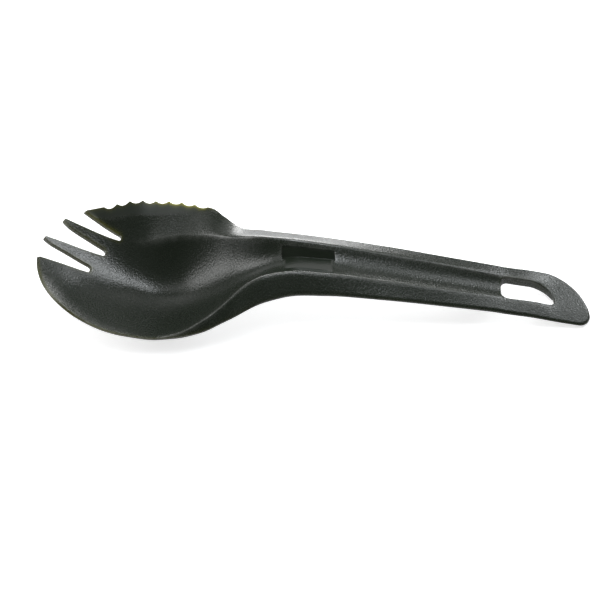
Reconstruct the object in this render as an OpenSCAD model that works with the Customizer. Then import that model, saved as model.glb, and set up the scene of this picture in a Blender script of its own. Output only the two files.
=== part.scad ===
// Camping spork: one springy moulding with a spoon bowl, four tines, a serrated cutting side, a ridged
// handle and a hang slot. X runs from the longest tine's tip to the handle's end, Y from the round rim
// to the serrated side, and Z is up from the table that the bowl and the handle's end rest on.

/* [Lengths] */
// Length of the bowl with its tines
bowl_length = 57; // [50:0.5:66]
// Length of the neck behind the bowl
neck_length = 38; // [32:0.5:46]
// Length of the plain grip
grip_length = 44; // [34:0.5:60]
// Length of the handle's end, which holds the hang slot
loop_length = 31; // [27:0.5:36]

/* [Walls] */
// Thickness of the moulded wall, measured upright
wall = 1.6; // [1.2:0.1:2.4]
// Thickness round the hang slot, measured upright
loop_wall = 2.5; // [1.8:0.1:3.2]

/* [Bowl] */
// Reach of the round rim from the handle's axis
rim_reach = 19.4; // [17.5:0.1:22]
// Offset of the longest tine's tip from the handle's axis, towards the serrated side
tip_offset = 8.3; // [6.5:0.1:10]
// Radius of the bowl's cross-section where it is deepest, towards the rim
bowl_radius = 20; // [17.5:0.5:24]
// Radius of the steeper wall under the serrated side, at the same place
steep_radius = 11.8; // [10.5:0.1:13.5]
// Width of the rolled lip along the rim
lip_width = 0.5; // [0.3:0.05:0.8]
// Drop of the rolled lip at its edge
lip_drop = 0.2; // [0.1:0.05:0.4]

/* [Tines] */
// Width of the widest slot between two tines, at its root
slot_width = 2.3; // [1.8:0.1:2.8]
// Width of a tine's blunt tip
tip_width = 0.7; // [0.5:0.05:1.2]
// Length of the taper at an inner tine's tip
taper_length = 3.6; // [2.5:0.1:5]
// Depth of the taper, on the tine's side towards the rim
taper_depth = 0.65; // [0.3:0.05:0.9]

/* [Serrated side] */
// Reach of the serrated edge from the handle's axis
blade_reach = 26.2; // [24.5:0.1:28.5]
// Distance between two points of the serration
tooth_pitch = 4.05; // [3.4:0.05:4.3]
// Number of scallops between the points
tooth_count = 8; // [4:2:8]
// Depth of a scallop
tooth_depth = 0.75; // [0.4:0.05:1]
// Width of the bevel behind the edge, at the middle of the serration
bevel_width = 4.1; // [2.5:0.1:5]
// Depth by which the bevel thins the edge
bevel_drop = 0.5; // [0.2:0.05:0.7]

/* [Neck and grip] */
// Height of the neck's underside above the table
neck_rise = 20.6; // [17:0.1:24]
// Distance of each ridge from the handle's axis, at the top of the neck
ridge_reach = 6.1; // [5:0.1:7]
// Radius of the groove between the ridges, at the top of the neck
groove_radius = 4.6; // [4:0.1:6]
// Width of each flange outside its ridge, at the top of the neck
flange_width = 5.3; // [4.5:0.1:6.5]
// Drop of each flange from its ridge to its edge, at the top of the neck
flange_drop = 4; // [2.5:0.1:5]
// Length of the shallow plate in the neck's groove
plate_length = 16.4; // [10:0.1:18]
// Depth of the shallow plate
plate_depth = 0.4; // [0.2:0.05:0.7]
// Width of the plate's sloping border
plate_border = 0.5; // [0.3:0.05:0.8]

/* [Hang slot] */
// Length of the slot
slot_length = 16.6; // [12:0.1:17.5]
// Radius of the slot's inner corners
slot_corner = 1.6; // [0.8:0.1:2]
// Offset of the slot from the handle's axis, towards the rim's side
slot_offset = 0.25; // [0.1:0.05:0.6]
// Radius of the rounded beak at the handle's end
beak_radius = 2.4; // [1.5:0.1:3]

/* [Hidden] */

plastic = [0.17, 0.19, 0.16];

length = bowl_length + neck_length + grip_length + loop_length;
tip_x = -length / 2;
neck_x = tip_x + bowl_length;
grip_x = neck_x + neck_length;
loop_x = grip_x + grip_length;
end_x = loop_x + loop_length;
axis_y = (rim_reach - blade_reach) / 2;

// Stations along the part, as shares of the stretch that each lies in
rim_station_shares = [0, 0.105, 0.23, 0.37, 0.51, 0.65];
bowl_station_shares = concat(rim_station_shares, [0.79, 0.895, 1]);
neck_station_shares = [0.16, 0.32, 0.5, 0.815];
grip_station_shares = [0.23, 0.68];
loop_station_shares = [0.13, 0.58, 1];
stations = concat(
    [for (s = bowl_station_shares) tip_x + s * bowl_length],
    [for (s = neck_station_shares) neck_x + s * neck_length],
    [for (s = grip_station_shares) grip_x + s * grip_length],
    [for (s = loop_station_shares) loop_x + s * loop_length]
);

// Underside of the floor line: up the tines, down to the bowl, over the neck and down the handle
floor_rise_shares = [
    0.58, 0.45, 0.28, 0.146, 0.058, 0, 0.058, 0.204, 0.41,
    0.65, 0.855, 1, 0.97, 0.79, 0.535, 0.29, 0.145, 0.01
];
floor_rise = neck_rise * floor_rise_shares;

// The floor line leaves the handle's axis towards the longest tine's tip
floor_side_shares = [
    1.08, 0.87, 0.6, 0.29, 0.04, -0.1, -0.1, -0.06, -0.02, 0, 0, 0, 0, 0, 0, 0, 0, 0
];
floor_side = tip_offset * floor_side_shares;

// Radii of the cross-section on each side of the floor line
groove_radius_shares = [1.17, 0.87, 1, 1.13, 1.28, 1.28, 1.4, 2.6, 13];
near_radius_shares = [2, 1.85, 1.62, 1.42, 1.16, 1, 0.82, 0.67, 0.49];
far_radius_shares = [1.7, 1.65, 1.61, 1.59, 1.32, 1, 1.02, 0.97, 0.8];
near_radius = concat(bowl_radius * near_radius_shares, groove_radius * groove_radius_shares);
far_radius = concat(steep_radius * far_radius_shares, groove_radius * groove_radius_shares);

// Ridges: the near one leaves the rim, the far one is the crease under the serrated side
ridge_shares = [1.52, 1.18, 1, 0.9, 0.82, 0.74, 0.64, 0.6, 0.6];
near_ridge_shares = [0.945, 0.815, 0.675];
far_ridge_shares = [0.99, 0.99, 0.955, 0.765, 0.62, 0.595, 0.605, 0.565, 0.48];
near_ridge = concat(
    [for (s = rim_station_shares) rim_reach - lip_width],
    rim_reach * near_ridge_shares, ridge_reach * ridge_shares
);
far_ridge = concat(blade_reach * far_ridge_shares, ridge_reach * ridge_shares);

// Flanges outside the ridges
flange_shares = [1.08, 1.11, 1, 0.905, 0.87, 0.81, 0.79, 0.83, 0.9];
near_flange_shares = [0.15, 0.39, 0.6];
far_flange_shares = [2, 2, 2, 2, 2, 1.9, 1.7, 1.64, 1.43];
drop_shares = [0.255, 0.62, 0.945];
handle_drop_shares = [1.18, 1.12, 1, 0.775, 0.475, 0.3, 0.125, 0.05, 0.025];
near_flange = concat(
    [for (s = rim_station_shares) lip_width],
    flange_width * concat(near_flange_shares, flange_shares)
);
far_flange = flange_width * concat(far_flange_shares, flange_shares);
near_drop = concat(
    [for (s = rim_station_shares) lip_drop],
    flange_drop * concat(drop_shares, handle_drop_shares)
);
// Rise of the serrated side as a share of its width, which turns into the far flange's fall
blade_rise_shares = [0.9, 0.9, 0.9, 0.92, 0.84, 0.54, 0.5, 0.36, 0];
far_rise_shares = concat(
    blade_rise_shares,
    [for (i = [len(blade_rise_shares):len(stations) - 1]) -near_drop[i] / near_flange[i]]
);

// The wall thickens towards the hang slot
thick_shares = [0, 0, 0, 0, 0, 0, 0, 0, 0, 0, 0, 0, 0, 0.1, 0.45, 1, 0.9, 0.7];

// Round rim: a quarter of a rounded oval from the longest tine's tip to where the rim is widest
widest_share = rim_station_shares[len(rim_station_shares) - 1];
rim_power = 2.05;
rim_x = tip_x + widest_share * bowl_length;
rim_long = rim_x - tip_x;
rim_wide = rim_reach + tip_offset;

// Serrated edge: points on a bow that falls away on both sides of its top
bow_share = 0.625;
bow_x = tip_x + bow_share * bowl_length;
front_fall_share = 0.085;
rear_fall_share = 0.185;
blade_end_share = 0.94;
serration_x = bow_x - tooth_count / 2 * tooth_pitch;
serration_end_x = serration_x + tooth_count * tooth_pitch;

// Tips of the tines and centres of the slots' roots, as shares of the bowl's length and the blade's reach
tip_shares = [[0.026, 0.595], [0.128, 0.813], [0.24, 0.9]];
root_shares = [[0.254, 0.318], [0.332, 0.525], [0.422, 0.67]];
root_width_shares = [1, 0.87, 0.63];
// Where the tines' root line leaves the rim, and where it points to
lip_root_share = 0.238;
root_line_shares = [0.405, 0.76];
// Where the cut between the bowl and the serrated side reaches the neck
blade_root_share = 0.63;

// Plate in the neck's groove
plate_start_share = 0.47;
plate_side_share = 0.7;
plate_x = neck_x + plate_start_share * neck_length;

// Hang slot and the handle's slanted end
slot_start_share = 0.105;
slot_slant_share = 0.5;
slot_x = loop_x + slot_start_share * loop_length;
slot_end_x = slot_x + slot_length;
slant_x = slot_x + slot_slant_share * slot_length;
end_slant_share = 0.44;
end_slant_x = loop_x + end_slant_share * loop_length;
slant_power = 1.9;
// Share of the beak's quarter circle that is kept before its blunt end
blunt_share = 0.98;
// Share of the corner radius by which the slot's pointed end is drawn in
slot_end_share = 0.5;

// Counts of facets
rim_rows = 14;
bowl_rows = 10;
arc_steps = 4;
tine_rows = 8;
scallop_steps = 5;

function clamp(v, low, high) = max(low, min(high, v));
function mix(a, b, share) = a + (b - a) * share;
function unit(v) = v / norm(v);
function turned(v) = [-v.y, v.x];
function cross2(a, b) = a.x * b.y - a.y * b.x;

// Point where the line through a and b meets the line through c and d
function meet(a, b, c, d) = mix(a, b, cross2(c - a, d - c) / cross2(b - a, d - c));

// Smooth curve through the values that a table gives at the stations
function span(x, i = 0) = i >= len(stations) - 2 || x < stations[i + 1] ? i : span(x, i + 1);
function lean(v, i) =
    let (last = len(stations) - 1, a = max(i - 1, 0), b = min(i + 1, last))
    a == i || b == i ? (v[b] - v[a]) / (stations[b] - stations[a]) :
    let (p = stations[i] - stations[a], q = stations[b] - stations[i])
    (p * p * (v[b] - v[i]) + q * q * (v[i] - v[a])) / (p * q * (p + q));
function curve(v, x) =
    let (i = span(x), h = stations[i + 1] - stations[i], t = (x - stations[i]) / h)
    (1 + 2 * t) * (1 - t) * (1 - t) * v[i] + t * (1 - t) * (1 - t) * h * lean(v, i) +
    t * t * (3 - 2 * t) * v[i + 1] + t * t * (t - 1) * h * lean(v, i + 1);

// Quarter of a rounded oval: how far it still reaches at a share of its length
function oval(share, power) = pow(1 - pow(clamp(share, 0, 1), power), 1 / power);
function rim_side(x) = tip_offset - rim_wide * oval((rim_x - x) / rim_long, rim_power);
function rim_point(side) = [rim_x - rim_long * oval((tip_offset - side) / rim_wide, rim_power), side];

// Edges and ridges as sides of the handle's axis, near ones negative
function near_ridge_side(x) = x < rim_x ? rim_side(x) + lip_width : -curve(near_ridge, x);
function near_edge_side(x) = x < rim_x ? rim_side(x) : near_ridge_side(x) - curve(near_flange, x);
function far_ridge_side(x) = curve(far_ridge, x);
function bow_side(x) =
    let (front = (bow_x - x) / (bow_x - tip_x - tip_shares[2].x * bowl_length))
    let (rear = (x - bow_x) / (neck_x - bow_x))
    blade_reach * (1 - (x < bow_x ? front_fall_share * front * front : rear_fall_share * rear * rear));
function far_edge_side(x) =
    let (start = tip_x + blade_end_share * bowl_length)
    let (t = clamp((x - start) / (neck_x - start), 0, 1), s = t * t * (3 - 2 * t))
    x >= end_slant_x ? slanted_end(x) :
    s == 0 ? bow_side(x) : mix(bow_side(x), far_ridge_side(x) + curve(far_flange, x), s);

// Handle's end: slanted on the far side, with a rounded beak on the near side
function beak_side() = near_edge_side(end_x) + beak_radius;
function slanted_end(x) =
    let (wide = far_ridge_side(end_slant_x) + curve(far_flange, end_slant_x) - beak_side())
    beak_side() + wide * oval((x - end_slant_x) / (end_x - end_slant_x), slant_power);
function beak_edge_side(x) =
    let (past = clamp((x - end_x) / beak_radius + 1, 0, blunt_share))
    near_edge_side(x) + beak_radius * (1 - sqrt(1 - past * past));

// Shallow plate in the neck's groove
function plate_dip(x, y) =
    let (inside = min(x - plate_x, plate_x + plate_length - x))
    let (across = plate_side_share * far_ridge_side(x) - abs(y))
    plate_depth * clamp(min(inside, across) / plate_border, 0, 1);

// Thinning of the serrated side towards its edge
function bevel_dip(y) = bevel_drop * max(y - blade_reach + bevel_width, 0) / bevel_width;

// Heights of the upper and lower faces
function thickness(x) = mix(wall, loop_wall, curve(thick_shares, x));
function top(p) =
    let (x = p.x, near = near_ridge_side(x), far = far_ridge_side(x))
    let (d = clamp(p.y, near, far) - curve(floor_side, x))
    let (radius = curve(d < 0 ? near_radius : far_radius, x))
    let (drop = x < rim_x ? lip_drop / lip_width : curve(near_drop, x) / curve(near_flange, x))
    curve(floor_rise, x) + thickness(x) + d * d / (2 * radius)
    - drop * max(near - p.y, 0) + curve(far_rise_shares, x) * max(p.y - far, 0)
    - plate_dip(x, p.y) - bevel_dip(p.y);
function bottom(p) = top(p) - thickness(p.x) + bevel_dip(p.y) + plate_dip(p.x, p.y);

// Closed sheet of the moulding over a grid of plan points, with rows along X and columns along Y.
// The cells from gap[0] up to gap[1] along X, and from gap[2] up to gap[3] along Y, are left open.
module sheet(grid, gap = [0, 0, 0, 0]) {
    rows = len(grid);
    columns = len(grid[0]);
    count = rows * columns;
    function place(i, j) = i * columns + j;
    function open(i, j) = i >= gap[0] && i < gap[1] && j >= gap[2] && j < gap[3];
    function held(i, j) = i >= 0 && j >= 0 && i < rows - 1 && j < columns - 1 && !open(i, j);
    function side(u, v) = [[u, v, v + count], [u, v + count, u + count]];
    upper = [for (row = grid, p = row) [p.x, p.y + axis_y, top(p)]];
    lower = [for (row = grid, p = row) [p.x, p.y + axis_y, bottom(p)]];
    faces = [
        for (i = [0:rows - 2], j = [0:columns - 2])
            if (held(i, j))
                let (a = place(i, j), b = place(i + 1, j), c = place(i + 1, j + 1), d = place(i, j + 1))
                each concat(
                    [[a, d, c], [a, c, b]],
                    [[a + count, b + count, c + count], [a + count, c + count, d + count]],
                    held(i, j - 1) ? [] : side(a, b),
                    held(i + 1, j) ? [] : side(b, c),
                    held(i, j + 1) ? [] : side(c, d),
                    held(i - 1, j) ? [] : side(d, a)
                )
    ];
    polyhedron(concat(upper, lower), faces);
}

// Tines and the slots between them, counted from the rim's side
tips = concat(
    [[tip_x, tip_offset]],
    [for (s = tip_shares) [tip_x + s.x * bowl_length, s.y * blade_reach]]
);
roots = [for (s = root_shares) [tip_x + s.x * bowl_length, s.y * blade_reach]];
root_radii = slot_width / 2 * root_width_shares;
root_start = rim_point(tip_offset - lip_root_share * rim_wide);
root_aim = [tip_x + root_line_shares.x * bowl_length, root_line_shares.y * blade_reach];
root_line = unit(root_aim - root_start);

function slot_axis(k) = unit((tips[k] + tips[k + 1]) / 2 - roots[k]);
function slot_side(k) = turned(slot_axis(k));
function tip_near_corner(k) =
    k == 3 ? [tips[k].x, far_edge_side(tips[k].x) - tip_width] :
    tips[k] + (tip_width / 2 + taper_depth) * slot_side(k - 1);
function tip_far_corner(k) =
    k == 0 ? rim_point(tip_offset - tip_width / 2) + [0, tip_width] : tips[k] - tip_width / 2 * slot_side(k);
// Point on a slot's round root, turned from its near side, round the back, to its far side
function root_point(k, turn) = roots[k] + root_radii[k] * (cos(turn) * slot_side(k) - sin(turn) * slot_axis(k));
// Where a slot's two sides cross the tines' root line
function slot_near_mouth(k) = meet(tip_far_corner(k), root_point(k, 0), root_start, root_aim);
function slot_far_mouth(k) = meet(tip_near_corner(k + 1), root_point(k, 180), root_start, root_aim);
function notch(k) = concat(
    [slot_near_mouth(k)],
    [for (i = [0:arc_steps]) root_point(k, 180 * i / arc_steps)],
    [slot_far_mouth(k)]
);

// Front border of the bowl, along the tines' root line and round the three slots' roots
bowl_front = concat(
    [root_start, root_start + lip_width * root_line],
    [for (i = [1:2]) mix(root_start, slot_near_mouth(0), i / 3)],
    notch(0),
    [mix(slot_far_mouth(0), slot_near_mouth(1), 1 / 2)],
    notch(1),
    [mix(slot_far_mouth(1), slot_near_mouth(2), 1 / 2)],
    notch(2)
);
crease_column = len(bowl_front) - 2 - arc_steps / 2;
blade_front = slot_far_mouth(2);
blade_root = [neck_x, blade_root_share * blade_reach];

// The same border with the slots left out: their points spread evenly over their mouths
function spread(k) = [
    for (i = [0:arc_steps + 2]) mix(slot_near_mouth(k), slot_far_mouth(k), i / (arc_steps + 2))
];
bowl_border = concat(
    [for (i = [0:3]) bowl_front[i]],
    spread(0),
    [mix(slot_far_mouth(0), slot_near_mouth(1), 1 / 2)],
    spread(1),
    [mix(slot_far_mouth(1), slot_near_mouth(2), 1 / 2)],
    spread(2)
);
function border_share(j, from, to) =
    (bowl_border[j] - bowl_border[from]) * root_line / ((bowl_border[to] - bowl_border[from]) * root_line);
function split_side(x) = mix(blade_front.y, blade_root.y, (x - blade_front.x) / (blade_root.x - blade_front.x));

// Row of the bowl from its near edge to the cut beside the blade. The pull, from 1 to 0, is how far
// the row still follows the front border.
function bowl_row(edge, ridge, far_x, pull) =
    let (last = len(bowl_front) - 1, first = bowl_border[crease_column])
    let (crease_x = mix(far_x, first.x, pull), crease_y = mix(far_ridge_side(crease_x), first.y, pull))
    let (crease = [crease_x, crease_y], split = [far_x, split_side(far_x)])
    [
        for (j = [0:last])
            pull * (bowl_front[j] - bowl_border[j]) + (
                j == 0 ? edge :
                j <= crease_column ? mix(ridge, crease, border_share(j, 1, crease_column)) :
                mix(crease, split, border_share(j, crease_column, last))
            )
    ];
rim_turn = asin(pow(lip_root_share, rim_power / 2));
function rim_at(turn) = [
    rim_x - rim_long * pow(cos(turn), 2 / rim_power),
    tip_offset - rim_wide * pow(sin(turn), 2 / rim_power)
];
function front_row(f) =
    let (edge = rim_at(mix(rim_turn, 90, f)), pull = pow(1 - f, 4))
    let (inner = mix([edge.x, edge.y + lip_width], bowl_front[1], pull))
    bowl_row(edge, inner, mix(blade_front.x, rim_x, f), pull);
function rear_row(x) = bowl_row([x, near_edge_side(x)], [x, near_ridge_side(x)], x, 0);

module bowl() {
    color(plastic) sheet(concat(
        [for (i = [0:rim_rows]) front_row(i / rim_rows)],
        [for (i = [1:bowl_rows]) rear_row(mix(rim_x, neck_x, i / bowl_rows))]
    ));
}

// Inner tine between two slots, from its tip to the root line
module tine(k) {
    long = norm(slot_far_mouth(k - 1) - tip_near_corner(k));
    sheet([
        for (i = [0:tine_rows])
            let (past = pow(i / tine_rows, 1.4), taper = pow(max(1 - past * long / taper_length, 0), 2))
            let (straight = mix(tip_near_corner(k), slot_far_mouth(k - 1), past))
            let (near = straight - taper_depth * taper * slot_side(k - 1))
            let (far = mix(tip_far_corner(k), slot_near_mouth(k), past))
            [for (share = [0:0.25:1]) mix(near, far, share)]
    ]);
}

module near_tine() {
    color(plastic) tine(1);
}

module far_tine() {
    color(plastic) tine(2);
}

// Broad outer tine on the rim's side, whose outer edge is the rim itself
module lip_tine() {
    color(plastic) sheet([
        for (i = [0:tine_rows])
            let (near = rim_point(mix(tip_offset - tip_width / 2, root_start.y, i / tine_rows)))
            let (far = mix(tip_far_corner(0), slot_near_mouth(0), i / tine_rows))
            [for (share = [0:0.2:1]) mix(near, far, share)]
    ]);
}

// Serrated cutting side, with the outer tine that it runs out into
function scallop(x) =
    let (turn = (x - serration_x) / tooth_pitch, past = turn - floor(turn))
    x < serration_x || x > serration_end_x ? 0 : tooth_depth * 4 * past * (1 - past);
blade_rows = concat(
    [for (i = [0:3]) mix(tips[3].x, serration_x, i / 4)],
    [for (i = [0:tooth_count * scallop_steps]) serration_x + i * tooth_pitch / scallop_steps],
    [for (i = [1:8]) mix(serration_end_x, neck_x, i / 8)]
);
blade_front_row = len([for (x = blade_rows) if (x < blade_front.x) x]);
function blade_near_point(i) =
    let (last = len(blade_rows) - 1)
    i < blade_front_row ? mix(tip_near_corner(3), blade_front, i / blade_front_row) :
    mix(blade_front, blade_root, (i - blade_front_row) / (last - blade_front_row));

module serrated_blade() {
    color(plastic) sheet([
        for (i = [0:len(blade_rows) - 1])
            let (x = blade_rows[i], near = blade_near_point(i), far = [x, far_edge_side(x) - scallop(x)])
            let (bevel = clamp((blade_reach - bevel_width - near.y) / (far.y - near.y), 0.2, 0.8))
            [for (share = [0, bevel / 2, bevel, (1 + bevel) / 2, 1]) mix(near, far, share)]
    ]);
}

// Row across the handle: flange, ridge, groove, ridge, flange
groove_shares = [0.85, plate_side_share, 0.6, 0.3];
function handle_row(x) =
    let (near = near_ridge_side(x), far = far_ridge_side(x))
    let (near_edge = near_edge_side(x), far_edge = far_edge_side(x))
    [for (y = concat(
        [near_edge, (near_edge + near) / 2, near],
        near * groove_shares,
        [0],
        far * [for (i = [len(groove_shares) - 1:-1:0]) groove_shares[i]],
        [far, (far + far_edge) / 2, far_edge]
    )) [x, y]];

module neck() {
    plate_end = plate_x + plate_length;
    color(plastic) sheet([for (x = concat(
        [for (i = [0:9]) mix(neck_x, plate_x, i / 9)],
        [for (i = [0:3]) mix(plate_x + plate_border, plate_end - plate_border, i / 3)],
        [plate_end, grip_x]
    )) handle_row(x)]);
}

module grip() {
    color(plastic) sheet([for (i = [0:10]) handle_row(mix(grip_x, loop_x, i / 10))]);
}

// Sides of the hang slot, drawn in round its corners and slanted like the handle's end
function drawn_in(past) = slot_corner * (1 - sqrt(1 - pow(clamp(past, 0, 1), 2)));
function slot_near_side(x) =
    near_ridge_side(x) - slot_offset + drawn_in((slot_x + slot_corner - x) / slot_corner)
    + slot_end_share * drawn_in((x - slot_end_x + slot_corner) / slot_corner);
function slot_far_side(x) =
    let (base = near_ridge_side(slot_end_x) - slot_offset + slot_corner)
    let (wide = far_ridge_side(slant_x) - slot_offset - base)
    x > slant_x ? base + wide * oval((x - slant_x) / (slot_end_x - slant_x), slant_power) :
    far_ridge_side(x) - slot_offset - drawn_in((slot_x + slot_corner - x) / slot_corner);

// Row across the handle's end: outside the slot, between its sides, and outside again
function loop_row(x) =
    let (low = beak_edge_side(x), high = far_edge_side(x))
    let (end_low = beak_edge_side(slot_end_x), end_wide = far_edge_side(slot_end_x) - end_low)
    let (low_share = (slot_near_side(slot_end_x) - end_low) / end_wide)
    let (high_share = (slot_far_side(slot_end_x) - end_low) / end_wide)
    let (near = x < slot_x ? near_ridge_side(x) : x > slot_end_x ? mix(low, high, low_share) : slot_near_side(x))
    let (far = x < slot_x ? far_ridge_side(x) : x > slot_end_x ? mix(low, high, high_share) : slot_far_side(x))
    [for (y = concat(
        [for (share = [0, 1 / 3, 2 / 3]) mix(low, near, share)],
        [for (share = [0, 1 / 4, 1 / 2, 3 / 4]) mix(near, far, share)],
        [for (share = [0, 1 / 3, 2 / 3, 1]) mix(far, high, share)]
    )) [x, y]];

module hang_loop() {
    corner_shares = [0, 0.1, 0.3, 0.6, 1];
    before = [for (i = [0:2]) mix(loop_x, slot_x, i / 3)];
    start = [for (s = corner_shares) slot_x + s * slot_corner];
    middle = [for (i = [1:3]) mix(slot_x + slot_corner, slant_x, i / 4)];
    slant = [for (i = [0:9]) mix(slant_x, slot_end_x, sin(90 * i / 9))];
    after = [for (i = [1:8]) mix(slot_end_x, end_x, sin(90 * i / 8))];
    first = len(before);
    last = first + len(start) + len(middle) + len(slant) - 1;
    rows = concat(before, start, middle, slant, after);
    color(plastic) sheet([for (x = rows) loop_row(x)], [first, last, 3, 7]);
}

bowl();
lip_tine();
near_tine();
far_tine();
serrated_blade();
neck();
grip();
hang_loop();
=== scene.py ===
"""Camping spork, moulded in one shot: bowl, tines, serrated side, neck, grip and hang loop."""
import math
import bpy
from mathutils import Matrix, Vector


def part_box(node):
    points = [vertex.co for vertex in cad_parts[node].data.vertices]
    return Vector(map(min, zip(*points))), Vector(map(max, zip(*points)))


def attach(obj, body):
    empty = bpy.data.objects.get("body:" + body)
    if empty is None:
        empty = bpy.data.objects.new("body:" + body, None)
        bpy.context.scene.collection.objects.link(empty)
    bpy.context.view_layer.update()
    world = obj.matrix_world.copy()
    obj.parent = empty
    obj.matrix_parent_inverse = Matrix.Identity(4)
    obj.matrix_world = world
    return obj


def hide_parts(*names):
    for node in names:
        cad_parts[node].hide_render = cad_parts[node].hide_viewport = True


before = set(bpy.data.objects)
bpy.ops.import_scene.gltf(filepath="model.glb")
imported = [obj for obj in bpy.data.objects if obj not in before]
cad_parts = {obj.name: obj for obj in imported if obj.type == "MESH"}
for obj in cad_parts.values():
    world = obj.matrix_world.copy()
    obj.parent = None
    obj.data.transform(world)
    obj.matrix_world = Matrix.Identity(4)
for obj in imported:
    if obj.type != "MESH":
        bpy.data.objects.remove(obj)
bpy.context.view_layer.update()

from types import SimpleNamespace

import bpy
import numpy as np
from bpy.props import FloatProperty, FloatVectorProperty, IntProperty, PointerProperty
from mathutils import Matrix, Vector
from mathutils.geometry import delaunay_2d_cdt

bl_info = {
    "name": "Camping spork",
    "version": (1, 0, 0),
    "blender": (4, 5, 0),
    "location": "3D View > Sidebar > Spork",
    "description": "Builds a moulded camping spork piece by piece, and a pale stage to look at it on",
    "category": "Add Mesh",
}

MM = 0.001

HANDLE_AXIS = (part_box("grip")[0].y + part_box("grip")[1].y) / 2
NECK_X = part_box("neck")[0].x
GRIP_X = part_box("grip")[0].x
LOOP_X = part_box("hang_loop")[0].x
END_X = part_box("hang_loop")[1].x


def length(name, description, default):
    """Property for one length in metres."""
    return FloatProperty(name=name, description=description, default=default, unit="LENGTH", precision=5)


def tint(name, description, default):
    """Property for one colour."""
    return FloatVectorProperty(name=name, description=description, default=default, subtype="COLOR",
                               size=3, min=0.0, max=1.0)


class SporkSizes(bpy.types.PropertyGroup):
    """Sizes of the moulding"""
    bowl_length: length("Bowl length", "Length of the bowl with its tines", NECK_X + END_X)
    neck_length: length("Neck length", "Length of the neck behind the bowl", GRIP_X - NECK_X)
    grip_length: length("Grip length", "Length of the plain grip", LOOP_X - GRIP_X)
    loop_length: length("Loop length", "Length of the handle's end", END_X - LOOP_X)
    axis_side: length("Axis side", "Place of the handle's axis across the part", HANDLE_AXIS)
    wall: length("Wall", "Thickness of the moulded wall", 1.6 * MM)
    loop_wall: length("Loop wall", "Thickness round the hang slot", 2.5 * MM)
    rim_reach: length("Rim reach", "Reach of the round rim from the axis", HANDLE_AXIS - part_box("bowl")[0].y)
    tip_offset: length("Tip offset", "Offset of the longest tine's tip from the axis", 8.3 * MM)
    bowl_radius: length("Bowl radius", "Cross-section radius of the bowl towards the rim", 20 * MM)
    steep_radius: length("Steep radius", "Cross-section radius under the serrated side", 11.8 * MM)
    lip_width: length("Lip width", "Width of the rolled lip along the rim", 0.5 * MM)
    lip_drop: length("Lip drop", "Drop of the rolled lip at its edge", 0.2 * MM)
    slot_width: length("Tine gap", "Width of the widest gap between two tines", 2.3 * MM)
    tip_width: length("Tip width", "Width of a tine's blunt tip", 0.7 * MM)
    taper_length: length("Taper length", "Length of the taper at an inner tine's tip", 3.6 * MM)
    taper_depth: length("Taper depth", "Depth of the taper at an inner tine's tip", 0.65 * MM)
    blade_reach: length("Blade reach", "Reach of the serrated edge from the axis",
                        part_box("serrated_blade")[1].y - HANDLE_AXIS)
    tooth_pitch: length("Tooth pitch", "Distance between two points of the serration", 4.05 * MM)
    tooth_count: IntProperty(name="Teeth", description="Number of scallops", default=8, min=2, max=12)
    tooth_depth: length("Tooth depth", "Depth of a scallop", 0.75 * MM)
    bevel_width: length("Bevel width", "Width of the bevel behind the serrated edge", 4.1 * MM)
    bevel_drop: length("Bevel drop", "Depth by which the bevel thins the edge", 0.5 * MM)
    neck_rise: length("Neck rise", "Height of the neck's underside", 20.6 * MM)
    ridge_reach: length("Ridge reach", "Distance of each ridge from the axis", 6.1 * MM)
    groove_radius: length("Groove radius", "Radius of the groove between the ridges", 4.6 * MM)
    flange_width: length("Flange width", "Width of each flange outside its ridge", 5.3 * MM)
    flange_drop: length("Flange drop", "Drop of each flange to its edge", 4 * MM)
    plate_length: length("Plate length", "Length of the shallow plate in the neck", 16.4 * MM)
    plate_depth: length("Plate depth", "Depth of the plate's crease below the bottom of the groove", 0.6 * MM)
    plate_border: length("Plate border", "Width of the plate's sloping border", 0.35 * MM)
    slot_length: length("Slot length", "Length of the hang slot", 16.6 * MM)
    slot_corner: length("Slot corner", "Radius of the slot's inner corners", 1.6 * MM)
    slot_offset: length("Slot offset", "Offset of the slot towards the rim's side", 0.05 * MM)
    beak_radius: length("Beak radius", "Radius of the beak at the handle's end", 3.9 * MM)
    edge_radius: length("Edge radius", "Radius along the edges of the bowl and tines", 0.16 * MM)
    handle_edge: length("Handle edge", "Radius along the edges of the handle", 1.0 * MM)
    slot_edge: length("Slot edge", "Radius along the edges of the hang slot", 0.3 * MM)
    slot_draft: length("Slot draft", "How far the slot's outer wall leans in below", 0.7 * MM)
    rim_underside: length("Rim underside", "Radius under the rim of the bowl", 0.95 * MM)
    ridge_softness: length("Ridge softness", "Width over which a ridge turns over", 0.4 * MM)
    crest_dip: length("Crest dip", "Depth of the hollow behind the crest below the serrated side", 0.44 * MM)
    crest_width: length("Crest width", "Width of that hollow", 2 * MM)
    crease_softness: length("Crease softness", "Width over which the crease turns over", 0.4 * MM)
    mesh_step: length("Mesh step", "Distance between the rows of the mesh", 0.75 * MM)


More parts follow.
